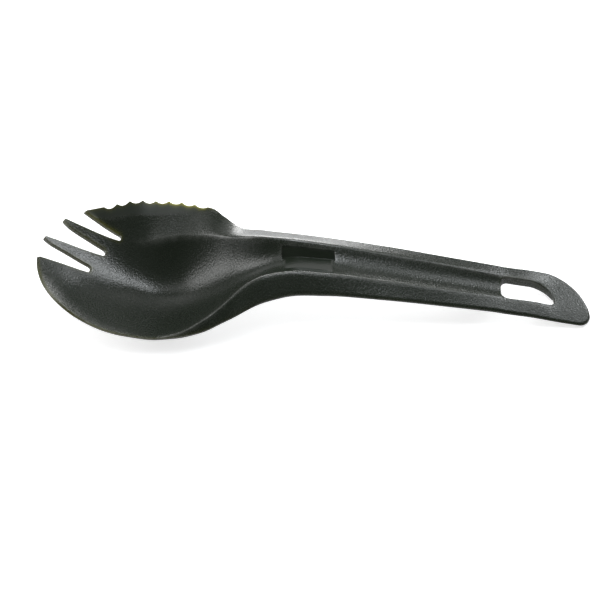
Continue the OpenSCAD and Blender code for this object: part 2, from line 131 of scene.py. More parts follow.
class SporkFinish(bpy.types.PropertyGroup):
    """Colours of the moulded plastic, and of the painted glow, highlights and glints on it"""
    plastic: tint("Plastic", "Colour of the dyed plastic", (0.0088, 0.0122, 0.0076))
    pale_plastic: tint("Pale plastic", "Colour of its paler patches", (0.0108, 0.0144, 0.0094))
    # Colour of the painted glow, standing in for light that shows through thin edges
    thin_edge_glow: tint("Thin edge", "Colour that light brings out of thin edges", (0.42, 0.4, 0.03))
    # Colour of the painted glow where light shows through the thin bevel
    thinned_glow: tint("Thinned", "Colour of the thin bevel", (0.012, 0.016, 0.0105))
    # Colour of the lighter lines: painted highlight, with rubbed wear on the ridges; also of the painted glints on the
    # grain
    rubbed_and_highlit: tint("Rubbed", "Colour of edges rubbed by use", (0.05, 0.053, 0.046))
    roughness: FloatProperty(name="Roughness", description="Roughness of the moulded grain", default=0.29,
                             min=0.0, max=1.0, subtype="FACTOR")
    grain_size: length("Grain size", "Size of the grain left by the mould", 0.46 * MM)
    grain_depth: length("Grain depth", "Depth of the grain left by the mould", 0.105 * MM)


class SporkStage(bpy.types.PropertyGroup):
    """Floor, light and camera"""
    floor_tint: tint("Floor", "Colour of the floor", (0.86, 0.86, 0.86))
    camera_height: FloatProperty(name="Camera elevation", description="Angle of the view above the table",
                                 default=math.radians(55), subtype="ANGLE")
    camera_distance: length("Camera distance", "Distance of the camera from the part", 0.65)
    lens: FloatProperty(name="Lens", description="Focal length in millimetres", default=127.26)
    sky: FloatProperty(name="Room light", description="Level of the light from all round", default=0.06, min=0.0)


# Stations along the part, as shares of the stretch that each lies in
RIM_STATION_SHARES = [0, 0.105, 0.23, 0.37, 0.51, 0.65]
BOWL_STATION_SHARES = RIM_STATION_SHARES + [0.79, 0.895, 1]
NECK_STATION_SHARES = [0.16, 0.32, 0.5, 0.815]
GRIP_STATION_SHARES = [0.23, 0.68]
LOOP_STATION_SHARES = [0.13, 0.58, 1]
# Values at the stations, as shares of the size that each belongs to
FLOOR_RISE_SHARES = [0.58, 0.45, 0.28, 0.146, 0.058, 0, 0.058, 0.204, 0.41,
                     0.65, 0.855, 1, 0.97, 0.79, 0.535, 0.29, 0.145, 0.01]
FLOOR_SIDE_SHARES = [1.08, 0.87, 0.6, 0.29, 0.04, -0.1, -0.1, -0.06, -0.02] + [0] * 9
VALLEY_SIDE_SHARES = [0.7, 0.56, 0.46, 0.4, 0.36, 0.22, 0.09, 0, 0] + [0] * 9
NEAR_TIGHT_SHARES = [0.38, 0.4, 0.45, 0.5, 0.55, 0.55, 0.55, 0.6, 0.9, 1.5] + [2] * 8
FAR_TIGHT_SHARES = [1.8, 1.3, 0.85, 0.6, 0.5, 0.6, 0.95, 1.3, 1.6, 1.8] + [2] * 8
GROOVE_RADIUS_SHARES = [1.17, 0.87, 1, 1.13, 1.28, 1.28, 1.4, 2.6, 13]
NEAR_RADIUS_SHARES = [2, 1.85, 1.62, 1.42, 1.16, 1, 0.82, 0.67, 0.49]
FAR_RADIUS_SHARES = [1.7, 1.65, 1.61, 1.59, 1.32, 1, 1.02, 0.97, 0.8]
RIDGE_SHARES = [1.52, 1.18, 1, 0.9, 0.82, 0.74, 0.64, 0.6, 0.6]
NEAR_RIDGE_SHARES = [0.945, 0.815, 0.675]
FAR_RIDGE_SHARES = [0.99, 0.99, 0.955, 0.765, 0.62, 0.595, 0.605, 0.565, 0.48]
FLANGE_SHARES = [1.08, 1.11, 1, 0.905, 0.87, 0.81, 0.79, 0.83, 0.9]
NEAR_FLANGE_SHARES = [0.15, 0.39, 0.6]
FAR_FLANGE_SHARES = [2, 2, 2, 2, 2, 1.9, 1.7, 1.64, 1.43]
DROP_SHARES = [0.255, 0.62, 0.945]
HANDLE_DROP_SHARES = [1.18, 1.12, 1, 0.775, 0.475, 0.3, 0.125, 0.05, 0.025]
NEAR_STEEP_SHARES = [1, 1.07, 1.12, 1.16, 1.16, 1.08, 1, 1, 1]
BLADE_RISE_SHARES = [0.9, 0.9, 0.92, 0.96, 0.9, 0.615, 0.56, 0.38, 0]
THICK_SHARES = [0] * 13 + [0.1, 0.45, 1, 0.9, 0.7]
RIM_POWER = 2.05
BOW_SHARE, FRONT_FALL_SHARE, REAR_FALL_SHARE, BLADE_END_SHARE = 0.625, 0.085, 0.185, 0.94
TIP_SHARES = [(0.026, 0.584), (0.128, 0.801), (0.24, 0.9)]
ROOT_SHARES = [(0.254, 0.318), (0.332, 0.525), (0.422, 0.67)]
ROOT_WIDTH_SHARES = [1, 0.87, 0.63]
LIP_ROOT_SHARE, ROOT_LINE_SHARES, BLADE_ROOT_SHARE = 0.238, (0.405, 0.76), 0.63
PLATE_START_SHARE, PLATE_SIDE_SHARE, PLATE_CREASE_SHARE = 0.47, 0.78, 0.36
PLATE_FAR_SLOPE, PLATE_NEAR_SLOPE = 1.02, 0.27
SLOT_START_SHARE, SLOT_SLANT_SHARE, END_SLANT_SHARE = 0.105, 0.53, 0.58
SLANT_POWER, END_POWER, SLOT_END_SHARE, NECK_SLOPE_SHARE = 1.85, 1.68, 0.9, 0.76
START_CORNER_SHARE, SLOT_END_RISE, OVERHANG_SHARE, END_FALL, FAR_EDGE_SHARE = 1.35, 1.35, 0.42, 0.13, 0.6
# Rows of the mesh along a rounded edge, as shares of its radius, and across the plate's border, as shares of its width
EDGE_ROWS = (0.09, 0.32, 0.64, 1.02)
BORDER_ROWS = (0, 0.25, 0.5, 0.75, 1, 1.5)
CREASE_ROWS = (-1, -0.08, 0.08, 1)
# How strongly the painted glow of light through thin edges shows: all, the bowl's, the front's, the serrated side's
# and the lower ones
EDGE_GLOW, BOWL_GLOW, FRONT_GLOW, BLADE_GLOW, LOWER_GLOW = 0.02, 0.07, 0.35, 0.16, 0.1
# Widths of the lighter lines on the ridges (painted highlight with some rubbed wear) and on the plate's border and the
# bevel's start (painted highlight), depth to which an edge is thin, and sizes of the paler clouds and patches
RIDGE_SHEEN_AND_RUB, BORDER_HIGHLIGHT_WIDTH, BEVEL_HIGHLIGHT_WIDTH, THIN_DEPTH = 0.7 * MM, 0.22 * MM, 0.3 * MM, 0.3 * MM
CLOUD_SIZE, PATCH_SIZE = 14 * MM, 2.2 * MM
# How white the floor is to the camera and in reflections
FLOOR_SEEN, FLOOR_REFLECTED = 0.66, 0.2
FLOOR_HALF = 4
# Sideways and upward turn of the camera from the part's middle, as slopes
LOOK_RIGHT, LOOK_UP = -14.7 / 2121, -18.1 / 2121
MIDDLE_RISE = 0.012
COOL, WHITE = (0.95, 0.98, 1.0), (1.0, 1.0, 1.0)
# Name, place, aim along and above the handle's axis, width and height, watts and colour of each lamp
LAMPS = (
    ("key_softbox", (0.022, -0.009, 0.219), (-0.015, 0.01), (0.11, 0.1), 0.355, (0.94, 0.97, 1.0)),
    ("right_softbox", (0.316, 0.188, 0.408), (0.05, 0.01), (0.2, 0.2), 0.39, COOL),
    ("end_softbox", (0.47, 0.4, 0.3), (0.06, 0.01), (0.2, 0.2), 1.5, COOL),
    ("left_softbox", (-0.4, -0.032, 0.17), (-0.02, 0.015), (0.2, 0.3), 0.84, WHITE),
    ("high_left_softbox", (-0.15, -0.025, 0.26), (-0.03, 0.01), (0.14, 0.12), 0.06, WHITE),
    ("back_strip", (-0.02, 0.22, 0.03), (-0.005, 0.012), (0.14, 0.06), 0.19, WHITE),
    ("low_back_strip", (-0.07, 0.45, 0.06), (0.0, 0.012), (0.45, 0.1), 0.85, WHITE),
    ("backdrop", (-0.25, 0.7, 0.4), (0.0, 0.012), (1.2, 0.8), 3.3, WHITE),
)


def mix(a, b, share):
    return a + (b - a) * share


def unit(v):
    return v / math.hypot(*v)


def turned(v):
    return np.array([-v[1], v[0]])


def cross2(a, b):
    return a[0] * b[1] - a[1] * b[0]


def meet(a, b, c, d):
    """Point where the line through a and b meets the line through c and d."""
    return mix(a, b, cross2(c - a, d - c) / cross2(b - a, d - c))


def smooth(t):
    t = np.clip(t, 0, 1)
    return t * t * (3 - 2 * t)


def oval(share, power):
    """Quarter of a rounded oval: how far it still reaches at a share of its length."""
    return (1 - np.clip(share, 0, 1) ** power) ** (1 / power)


def past_zero(v, softness):
    """Like max(v, 0), with the corner turned over softly."""
    return 0.5 * (v + np.sqrt(v * v + softness * softness))


def pairs(x, y):
    """Points with these places, one in each row."""
    return np.stack([x, y], axis=1)


def following(loop):
    """The point after each point of a closed line."""
    return np.roll(loop, -1, axis=0)


def evenly(points, step):
    """Points of a line set out again at even distances."""
    points = np.asarray(points, float)
    run = np.r_[0, np.cumsum(np.hypot(*np.diff(points, axis=0).T))]
    count = max(1, math.ceil(run[-1] / step - 1e-6))
    at = np.linspace(0, run[-1], count + 1)
    return np.stack([np.interp(at, run, points[:, k]) for k in (0, 1)], axis=1)


class Moulding:
    """Plan and faces of the one moulding, with sides counted from the handle's axis, the rim's negative."""

    def __init__(self, sizes):
        s = self.s = SimpleNamespace(**{key: getattr(sizes, key) for key in SporkSizes.__annotations__})
        self.tip_x = -(s.bowl_length + s.neck_length + s.grip_length + s.loop_length) / 2
        self.neck_x = self.tip_x + s.bowl_length
        self.grip_x = self.neck_x + s.neck_length
        self.loop_x = self.grip_x + s.grip_length
        self.end_x = self.loop_x + s.loop_length
        self.stations = np.array(
            [self.tip_x + share * s.bowl_length for share in BOWL_STATION_SHARES]
            + [self.neck_x + share * s.neck_length for share in NECK_STATION_SHARES]
            + [self.grip_x + share * s.grip_length for share in GRIP_STATION_SHARES]
            + [self.loop_x + share * s.loop_length for share in LOOP_STATION_SHARES])
        scaled = lambda size, *shares: size * np.concatenate([np.asarray(part, float) for part in shares])
        lip = np.ones(len(RIM_STATION_SHARES))
        self.floor_rise = scaled(s.neck_rise, FLOOR_RISE_SHARES)
        self.floor_side = scaled(s.tip_offset, FLOOR_SIDE_SHARES)
        self.valley_side = scaled(s.tip_offset, VALLEY_SIDE_SHARES)
        self.near_tight = scaled(s.bowl_radius, NEAR_TIGHT_SHARES)
        self.far_tight = scaled(s.bowl_radius, FAR_TIGHT_SHARES)
        ridge = scaled(s.ridge_reach, RIDGE_SHARES)
        self.near_ridge = np.r_[(s.rim_reach - s.lip_width) * lip, scaled(s.rim_reach, NEAR_RIDGE_SHARES), ridge]
        self.far_ridge = np.r_[scaled(s.blade_reach, FAR_RIDGE_SHARES), ridge]
        self.near_flange = np.r_[s.lip_width * lip, scaled(s.flange_width, NEAR_FLANGE_SHARES, FLANGE_SHARES)]
        self.far_flange = scaled(s.flange_width, FAR_FLANGE_SHARES, FLANGE_SHARES)
        self.near_drop = np.r_[s.lip_drop * lip, scaled(s.flange_drop, DROP_SHARES, HANDLE_DROP_SHARES)]
        first = len(BLADE_RISE_SHARES)
        self.far_slope = np.r_[BLADE_RISE_SHARES, -self.near_drop[first:] / self.near_flange[first:]]
        self.far_slope[first] *= NECK_SLOPE_SHARE
        self.near_drop[first:] *= NEAR_STEEP_SHARES
        self.thick = np.asarray(THICK_SHARES, float)
        self.rim_x = self.tip_x + RIM_STATION_SHARES[-1] * s.bowl_length
        self.rim_long, self.rim_wide = self.rim_x - self.tip_x, s.rim_reach + s.tip_offset
        groove = scaled(s.groove_radius, GROOVE_RADIUS_SHARES)
        self.near_radius = np.r_[scaled(s.bowl_radius, NEAR_RADIUS_SHARES), groove]
        self.far_radius = np.r_[scaled(s.steep_radius, FAR_RADIUS_SHARES), groove]
        self.front_lift = self.lift(self.stations, self.near_ridge_side, self.near_radius, self.near_tight)
        self.front_lift[0] = self.front_lift[1]
        self.bow_x = self.tip_x + BOW_SHARE * s.bowl_length
        self.serration_x = self.bow_x - s.tooth_count / 2 * s.tooth_pitch
        self.serration_end_x = self.serration_x + s.tooth_count * s.tooth_pitch
        self.plate_x = self.neck_x + PLATE_START_SHARE * s.neck_length
        self.plate_end_x = self.plate_x + s.plate_length
        self.slot_x = self.loop_x + SLOT_START_SHARE * s.loop_length
        self.slot_end_x = self.slot_x + s.slot_length
        self.slant_x = self.slot_x + SLOT_SLANT_SHARE * s.slot_length
        self.end_slant_x = self.loop_x + END_SLANT_SHARE * s.loop_length
        at = lambda shares: np.array([self.tip_x + shares[0] * s.bowl_length, shares[1] * s.blade_reach])
        self.tips = [np.array([self.tip_x, s.tip_offset])] + [at(shares) for shares in TIP_SHARES]
        self.roots = [at(shares) for shares in ROOT_SHARES]
        self.root_radii = [s.slot_width / 2 * share for share in ROOT_WIDTH_SHARES]
        self.root_turn = math.asin(LIP_ROOT_SHARE ** (RIM_POWER / 2))
        self.root_start = self.rim_at(self.root_turn)
        self.root_aim = at(ROOT_LINE_SHARES)
        self.blade_front = self.far_mouth(2)
        self.blade_root = np.array([self.neck_x, BLADE_ROOT_SHARE * s.blade_reach])

    def curve(self, values, x):
        """Smooth curve through the values that a table gives at the stations."""
        st, x = self.stations, np.asarray(x, float)
        before, after = st[1:-1] - st[:-2], st[2:] - st[1:-1]
        lean = np.empty(len(values))
        lean[0] = (values[1] - values[0]) / (st[1] - st[0])
        lean[-1] = (values[-1] - values[-2]) / (st[-1] - st[-2])
        lean[1:-1] = (before ** 2 * (values[2:] - values[1:-1]) + after ** 2 * (values[1:-1] - values[:-2])) / (
            before * after * (before + after))
        i = np.clip(np.searchsorted(st, x, side="right") - 1, 0, len(st) - 2)
        h = st[i + 1] - st[i]
        t = (x - st[i]) / h
        return ((1 + 2 * t) * (1 - t) ** 2 * values[i] + t * (1 - t) ** 2 * h * lean[i]
                + t * t * (3 - 2 * t) * values[i + 1] + t * t * (t - 1) * h * lean[i + 1])

    def lift(self, x, ridge_side, radii, tights):
        """Steepness of a wall beside the valley that brings it up to its ridge."""
        ridge, tight = ridge_side(x), self.curve(tights, x)
        reach = np.maximum(abs(ridge - self.curve(self.valley_side, x)), 0.2 * self.s.bowl_radius)
        height = (ridge - self.curve(self.floor_side, x)) ** 2 / (2 * self.curve(radii, x))
        return height / (np.hypot(reach, tight) - tight)

    # Edges and ridges in plan
    def rim_at(self, turn):
        return np.array([self.rim_x - self.rim_long * math.cos(turn) ** (2 / RIM_POWER),
                         self.s.tip_offset - self.rim_wide * math.sin(turn) ** (2 / RIM_POWER)])

    def rim_side(self, x):
        return self.s.tip_offset - self.rim_wide * oval((self.rim_x - x) / self.rim_long, RIM_POWER)

    def near_ridge_side(self, x):
        return np.where(x < self.rim_x, self.rim_side(x) + self.s.lip_width, -self.curve(self.near_ridge, x))

    def near_edge_side(self, x):
        return np.where(x < self.rim_x, self.rim_side(x),
                        self.near_ridge_side(x) - self.curve(self.near_flange, x) - self.overhang(x))

    def overhang(self, x):
        """How far the flange's edge on the rim's side stands out over its underside."""
        slope = self.curve(self.near_drop, x) / self.curve(self.near_flange, x)
        start = smooth((x - self.rim_x) / (self.neck_x - self.rim_x))
        return OVERHANG_SHARE * start * self.thickness(x) / (1 + 0.7 * slope)

    def far_ridge_side(self, x):
        return self.curve(self.far_ridge, x)

    def far_edge_side(self, x):
        s = self.s
        front = (self.bow_x - x) / (self.bow_x - self.tip_x - TIP_SHARES[2][0] * s.bowl_length)
        rear = (x - self.bow_x) / (self.neck_x - self.bow_x)
        fall = np.where(x < self.bow_x, FRONT_FALL_SHARE * front ** 2, REAR_FALL_SHARE * rear ** 2)
        start = self.tip_x + BLADE_END_SHARE * s.bowl_length
        return mix(s.blade_reach * (1 - fall), self.far_ridge_side(x) + self.curve(self.far_flange, x),
                   smooth((x - start) / (self.neck_x - start)))

    # Tines and the gaps between them, counted from the rim's side
    def gap_axis(self, k):
        return unit((self.tips[k] + self.tips[k + 1]) / 2 - self.roots[k])

    def gap_side(self, k):
        return turned(self.gap_axis(k))

    def tip_near_corner(self, k):
        s = self.s
        if k == 3:
            return np.array([self.tips[k][0], float(self.far_edge_side(self.tips[k][0])) - 0.6 * s.tip_width])
        return self.tips[k] + (s.tip_width / 2 + s.taper_depth) * self.gap_side(k - 1)

    def tip_far_corner(self, k):
        s = self.s
        if k == 0:
            return self.rim_at(self.tip_turn()) + np.array([0, s.tip_width])
        return self.tips[k] - s.tip_width / 2 * self.gap_side(k)

    def tip_turn(self):
        return math.asin((self.s.tip_width / 2 / self.rim_wide) ** (RIM_POWER / 2))

    def root_point(self, k, turn):
        return self.roots[k] + self.root_radii[k] * (
            math.cos(turn) * self.gap_side(k) - math.sin(turn) * self.gap_axis(k))

    def near_mouth(self, k):
        return meet(self.tip_far_corner(k), self.root_point(k, 0), self.root_start, self.root_aim)

    def far_mouth(self, k):
        return meet(self.tip_near_corner(k + 1), self.root_point(k, math.pi), self.root_start, self.root_aim)

    def blunt(self, a, b, out):
        """Rounded end of a tine from corner a to corner b."""
        swell = 0.45 * self.s.tip_width
        turns = np.linspace(0, math.pi, 9)[:, None]
        return (a + b) / 2 - swell * out + np.cos(turns) * (a - b) / 2 + swell * np.sin(turns) * out

    def tine_near_edge(self, k):
        """Edge of an inner tine that faces the rim, drawn in towards its tip."""
        s, corner, mouth = self.s, self.tip_near_corner(k), self.far_mouth(k - 1)
        past = np.linspace(0, 1, 60)[:, None]
        taper = np.maximum(1 - past * math.dist(corner, mouth) / s.taper_length, 0) ** 2
        return mix(corner, mouth, past) - s.taper_depth * taper * self.gap_side(k - 1)

    def outline(self):
        """Outer border of the plan, from the longest tine's tip along the rim and back along the blade."""
        s, step = self.s, 0.6 * self.s.mesh_step
        along = lambda side, a, b: pairs(x := np.linspace(a, b, 200), side(x))
        rim = lambda a, b: np.array([self.rim_at(t) for t in np.linspace(a, b, 300)])
        lines = [rim(self.tip_turn(), self.root_turn), rim(self.root_turn, math.pi / 2)]
        stops = [self.rim_x, self.neck_x, self.grip_x, self.loop_x, self.end_x - s.beak_radius]
        lines += [along(self.near_edge_side, a, b) for a, b in zip(stops, stops[1:])]
        turn = np.linspace(0, math.pi / 2, 60)
        beak_x = self.end_x - s.beak_radius * (1 - np.sin(turn))
        lines.append(pairs(beak_x, self.near_edge_side(beak_x) + s.beak_radius * (1 - np.cos(turn))))
        beak_side = float(self.near_edge_side(self.end_x)) + s.beak_radius
        plain = lambda x: self.far_ridge_side(x) + self.curve(self.far_flange, x)
        wide, long = float(plain(self.end_slant_x)) - beak_side, self.end_x - self.end_slant_x
        turn = np.linspace(math.pi / 2, 0, 120)
        lines.append(pairs(self.end_slant_x + long * np.sin(turn) ** (2 / END_POWER),
                           beak_side + wide * np.cos(turn) ** (2 / END_POWER)))
        stops = [self.end_slant_x, self.loop_x, self.grip_x, self.neck_x, self.serration_end_x]
        lines += [along(self.far_edge_side, a, b) for a, b in zip(stops, stops[1:])]
        teeth = [self.serration_x + k * s.tooth_pitch for k in range(s.tooth_count, -1, -1)]
        for a, b in zip(teeth, teeth[1:]):
            x = np.linspace(a, b, 40)
            past = np.linspace(0, 1, 40)
            lines.append(pairs(x, self.far_edge_side(x) - s.tooth_depth * 4 * past * (1 - past)))
        lines.append(along(self.far_edge_side, self.serration_x, self.tips[3][0]))
        for k in (3, 2, 1):
            out = self.gap_axis(k - 1)
            far = np.array([self.tips[3][0], float(self.far_edge_side(self.tips[3][0]))]) if k == 3 else (
                self.tip_far_corner(k))
            near = np.array([self.tip_near_corner(3), self.far_mouth(2)]) if k == 3 else self.tine_near_edge(k)
            lines.append(self.blunt(far, near[0], out))
            lines.append(near)
            lines.append(np.array([self.far_mouth(k - 1), self.root_point(k - 1, math.pi)]))
            lines.append(np.array([self.root_point(k - 1, t) for t in np.linspace(math.pi, 0, 40)]))
            lines.append(np.array([self.root_point(k - 1, 0), self.near_mouth(k - 1)]))
            lines.append(np.array([self.near_mouth(k - 1), self.tip_far_corner(k - 1)]))
        lines.append(self.blunt(self.tip_far_corner(0), self.rim_at(self.tip_turn()), np.array([-1.0, 0.0])))
        fine = {id(line): 0.5 * step for line in lines if math.dist(line[0], line[-1]) < 4.5 * MM}
        loop = np.concatenate([evenly(line, fine.get(id(line), step))[:-1] for line in lines])
        apart = np.hypot(*(loop - np.roll(loop, 1, axis=0)).T)
        return loop[apart > 0.03 * MM]

    def hang_slot(self):
        """Border of the hang slot."""
        s = self.s
        x = self.slot_x + s.slot_length * 0.5 * (1 - np.cos(np.linspace(0, math.pi, 600)))
        drawn_in = lambda past: s.slot_corner * (1 - np.sqrt(1 - np.clip(past, 0, 1) ** 2))
        start = START_CORNER_SHARE * drawn_in((self.slot_x + START_CORNER_SHARE * s.slot_corner - x)
                                              / (START_CORNER_SHARE * s.slot_corner))
        near = self.near_ridge_side(x) - s.slot_offset + start + SLOT_END_SHARE * drawn_in(
            (x - self.slot_end_x + s.slot_corner) / s.slot_corner)
        base = float(self.near_ridge_side(self.slot_end_x)) - s.slot_offset + SLOT_END_RISE * s.slot_corner
        wide = float(self.far_ridge_side(self.slant_x)) - s.slot_offset - base
        far = np.where(x > self.slant_x,
                       base + wide * oval((x - self.slant_x) / (self.slot_end_x - self.slant_x), SLANT_POWER),
                       self.far_ridge_side(x) - s.slot_offset - start)
        loop = np.concatenate([pairs(x, near), pairs(x, far)[::-1]])
        return evenly(np.concatenate([loop, loop[:1]]), 0.5 * s.mesh_step)[:-1]

    def cuts(self):
        """Lines where one named region of the moulding ends and the next begins."""
        across = lambda x: [np.array([x, float(self.near_edge_side(x))]), np.array([x, float(self.far_edge_side(x))])]
        neck_near, neck_far = across(self.neck_x)
        return [
            (self.root_start, self.near_mouth(0)), (self.far_mouth(0), self.near_mouth(1)),
            (self.far_mouth(1), self.near_mouth(2)), (self.blade_front, self.blade_root),
            (neck_near, self.blade_root), (self.blade_root, neck_far),
            across(self.grip_x), across(self.loop_x),
        ]

    # Faces
    def thickness(self, x):
        return mix(self.s.wall, self.s.loop_wall, self.curve(self.thick, x))

    def edge(self, x):
        """Radius of the outer edges, which are rounder on the handle."""
        return mix(self.s.edge_radius, self.s.handle_edge, smooth((x - self.neck_x) / (0.6 * self.s.neck_length)))

    def edge_below(self, x, y):
        """Radius of the lower edges, large under the rim."""
        rim = (y < self.s.tip_offset + 0.2 * MM) * smooth((self.neck_x - x) / (0.3 * self.s.bowl_length))
        return mix(self.edge(x), self.s.rim_underside, rim)

    def lean_out(self, x):
        """How far the lower face lies ahead of the upper one, because the tines' walls stand square to them."""
        small = 0.1 * MM
        fall = (self.curve(self.floor_rise, x - small) - self.curve(self.floor_rise, x + small)) / (2 * small)
        return self.thickness(x) * np.clip(fall, 0, 0.45) * smooth((self.bow_x - x) / (0.25 * self.s.bowl_length))

    def plate_dip(self, x, y):
        """Depth of the shallow plate below the groove: two flats that meet in a crease."""
        s, soft = self.s, 0.03 * self.s.plate_border
        crease = PLATE_CREASE_SHARE * s.ridge_reach
        share = self.plate_zone(x, y) * smooth((y / s.ridge_reach + 0.6) / 0.15)
        flats = (PLATE_FAR_SLOPE * past_zero(y - crease, soft) + PLATE_NEAR_SLOPE * past_zero(crease - y, soft)
                 - s.plate_depth)
        return share * (y * y / (2 * self.curve(self.near_radius, x)) - flats)

    def plate_zone(self, x, y):
        """The plate and the groove below it, which the mould left smooth; below the crease its ends run out."""
        s = self.s
        inward = np.minimum(x - self.plate_x, self.plate_end_x - x)
        across = np.minimum(PLATE_SIDE_SHARE * self.far_ridge_side(x) - y, y - 0.9 * self.near_ridge_side(x))
        below = smooth((PLATE_CREASE_SHARE * s.ridge_reach - y) / (2 * s.plate_border))
        ends = mix(smooth(inward / s.plate_border), smooth(inward / (4 * s.plate_border)), below)
        return ends * smooth(across / s.plate_border)

    def bevel_share(self, x, y):
        """Share of the bevel's depth, which runs out in a curve behind the last tooth."""
        a = np.maximum(y - self.s.blade_reach + self.s.bevel_width, 0)
        b = np.maximum(self.serration_end_x + 0.3 * self.s.tooth_pitch - x, 0)
        return a * b / np.maximum(np.hypot(a, b), 1e-9) / self.s.bevel_width

    def dip(self, x, y):
        s = self.s
        end_fall = END_FALL * smooth((x - self.loop_x) / (0.5 * s.loop_length)) * past_zero(
            self.near_ridge_side(x) - y, s.beak_radius)
        return self.plate_dip(x, y) + s.bevel_drop * self.bevel_share(x, y) + end_fall

    def upper(self, x, y):
        return self.base(x, y) - self.dip(x, y)

    def lower(self, x, y):
        return self.base(x, y) - self.thickness(x)

    def base(self, x, y):
        """Height of the upper face without plate and bevel."""
        s = self.s
        near, far = self.near_ridge_side(x), self.far_ridge_side(x)
        flanged = smooth((x - self.rim_x + 0.1 * s.rim_reach) / (0.5 * s.rim_reach))
        flat_end = smooth((x - self.slot_end_x + 3 * s.slot_corner) / (4 * s.slot_corner))
        outside = flanged * past_zero(near - y, mix(s.ridge_softness, s.beak_radius, flat_end))
        beyond = past_zero(y - far, mix(s.crease_softness, s.beak_radius, flat_end))
        d = y + outside - beyond - self.curve(self.valley_side, x)
        tight = np.where(d < 0, self.curve(self.near_tight, x), self.curve(self.far_tight, x))
        front = smooth((self.stations[5] - x) / (self.stations[5] - self.stations[2]))
        near_lift = mix(self.lift(x, self.near_ridge_side, self.near_radius, self.near_tight),
                        self.curve(self.front_lift, x), front)
        lift = np.where(d < 0, near_lift, self.lift(x, self.far_ridge_side, self.far_radius, self.far_tight))
        drop = self.curve(self.near_drop, x) / self.curve(self.near_flange, x)
        crest = smooth((x - self.tip_x) / (0.14 * s.bowl_length) - 3.8) * smooth(
            (self.neck_x - x) / (0.16 * s.bowl_length) - 0.3)
        hollow = crest * s.crest_dip * (1 - np.exp(-beyond / s.crest_width))
        return (self.curve(self.floor_rise, x) + self.thickness(x) + lift * (np.hypot(d, tight) - tight)
                - drop * outside + self.curve(self.far_slope, x) * beyond - hollow)


def inside(points, loop):
    """Which points lie inside a closed line."""
    a, b = loop, following(loop)
    found = np.zeros(len(points), bool)
    for start in range(0, len(points), 4000):
        p = points[start:start + 4000, None, :]
        spans = (a[None, :, 1] > p[..., 1]) != (b[None, :, 1] > p[..., 1])
        rise = np.where(b[:, 1] == a[:, 1], 1.0, b[:, 1] - a[:, 1])
        cross = a[None, :, 0] + (p[..., 1] - a[None, :, 1]) * ((b[:, 0] - a[:, 0]) / rise)[None]
        found[start:start + 4000] = np.count_nonzero(spans & (p[..., 0] < cross), axis=1) % 2 == 1
    return found


def distance(points, a, b):
    """Distance of each point from the nearest of the straight pieces a to b."""
    along = b - a
    square = np.maximum((along ** 2).sum(axis=1), 1e-18)
    found = np.empty(len(points))
    for start in range(0, len(points), 2000):
        p = points[start:start + 2000, None, :] - a[None]
        share = np.clip((p * along).sum(axis=2) / square, 0, 1)
        found[start:start + 2000] = np.sqrt(((p - share[..., None] * along) ** 2).sum(axis=2).min(axis=1))
    return found


REGIONS = ["bowl", "lip_tine", "near_tine", "far_tine", "serrated_blade", "neck", "grip", "hang_loop"]
SHAPES = {}


